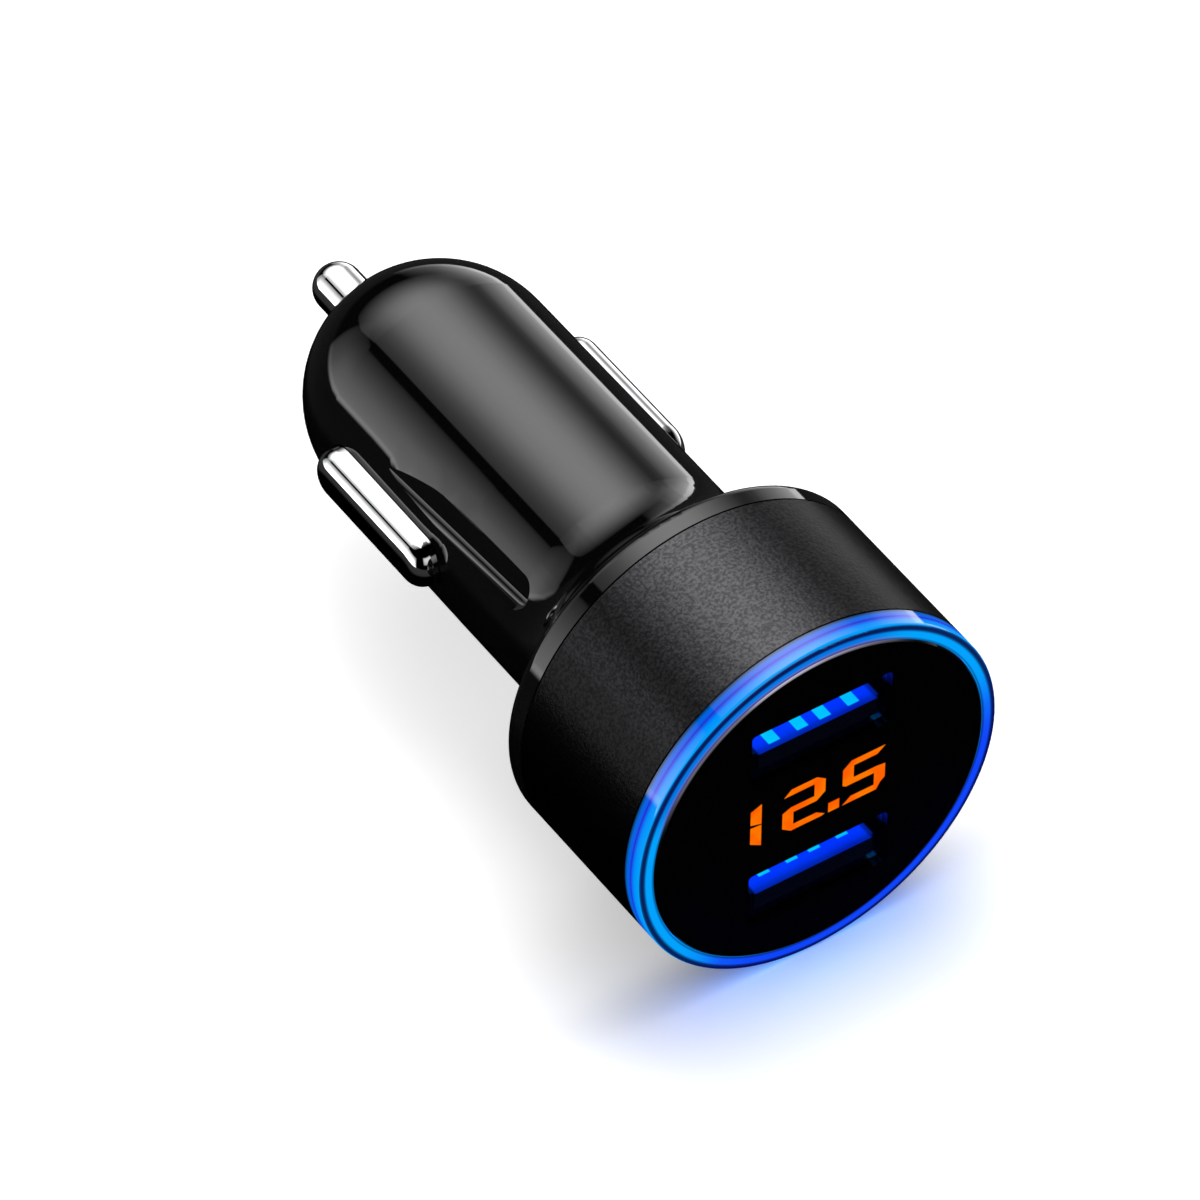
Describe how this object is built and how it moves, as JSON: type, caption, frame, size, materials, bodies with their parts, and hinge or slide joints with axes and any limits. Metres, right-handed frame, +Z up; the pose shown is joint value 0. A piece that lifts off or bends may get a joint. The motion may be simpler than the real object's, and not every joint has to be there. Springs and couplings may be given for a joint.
{
  "type": "car usb charger plug",
  "caption": "Round-nosed charger plug for a 12 V car socket: spring pin, sprung side contacts, metal sleeve, lit ring, USB ports and a voltage display.",
  "frame": {"origin": "on the plug's axis, at the plane where the neck meets the barrel and the plug stops in its socket", "axes": "+Y along the axis towards the nose pin, the face looks towards -Y, +Z is up for someone who reads the display, +X is that reader's right"},
  "size_m": [0.0318, 0.0668, 0.0318],
  "materials": {
    "black_plastic": "high gloss moulded ABS and polycarbonate",
    "black_anodised": "sandblasted and anodised black",
    "clear_ring": "clear acrylic, lit blue from below",
    "face_black": "mirror-gloss black window panel",
    "segment_orange": "light pipe, lit orange from below",
    "display_grey": "moulded display block",
    "solder_tin": "tinned wire",
    "board_green": "solder mask on glass fibre board",
    "lamp_white": "lamp housing",
    "shell_steel": "nickel-plated spring steel sheet",
    "tongue_blue": "translucent blue insulator, lit from behind",
    "contact_gold": "gold-plated contact strip",
    "ferrite": "sintered ferrite",
    "copper_wire": "enamelled copper",
    "can_sleeve": "shrink sleeve on an aluminium can",
    "chip_black": "moulding compound",
    "fuse_ceramic": "ceramic",
    "resistor_body": "chip resistors and capacitors",
    "contact_chrome": "chrome-plated brass and steel",
    "spring_steel": "spring wire",
    "strip_brass": "stamped strip"
  },
  "bodies": {
    "charger": {"plug_housing": "black_plastic", "head_sleeve": "black_anodised", "light_ring": "clear_ring", "face_panel": "face_black", "display_segments": "segment_orange", "display_module": "display_grey", "display_pins": "solder_tin", "front_board": "board_green", "ring_lamps": "lamp_white", "usb_shell_upper": "shell_steel", "usb_shell_lower": "shell_steel", "usb_tongue_upper": "tongue_blue", "usb_tongue_lower": "tongue_blue", "usb_contacts_upper": "contact_gold", "usb_contacts_lower": "contact_gold", "main_board": "board_green", "choke_core": "ferrite", "choke_winding": "copper_wire", "input_capacitor": "can_sleeve", "output_capacitor": "can_sleeve", "converter_chip": "chip_black", "rectifier_diode": "chip_black", "board_fuse": "fuse_ceramic", "small_parts": "resistor_body", "tip_spring": "spring_steel", "tip_terminal": "strip_brass", "ground_frame": "strip_brass", "side_springs_left": "spring_steel", "side_springs_right": "spring_steel"},
    "tip": {"tip_contact": "contact_chrome"},
    "left_bar": {"side_contact_left": "contact_chrome"},
    "right_bar": {"side_contact_right": "contact_chrome"}
  },
  "joints": [
    {"name": "tip_slide", "type": "slide", "parent": "charger", "child": "tip", "axis": [0, -1, 0], "range_m": [0, 0.003], "stiffness_N_per_m": 1500, "springref_m": -0.0015, "deforming": ["tip_spring"]},
    {"name": "left_contact_slide", "type": "slide", "parent": "charger", "child": "left_bar", "axis": [1, 0, 0], "range_m": [0, 0.0019], "stiffness_N_per_m": 800, "springref_m": -0.001, "deforming": ["side_springs_left"]},
    {"name": "right_contact_slide", "type": "slide", "parent": "charger", "child": "right_bar", "axis": [-1, 0, 0], "range_m": [0, 0.0019], "stiffness_N_per_m": 800, "springref_m": -0.001, "deforming": ["side_springs_right"]}
  ]
}
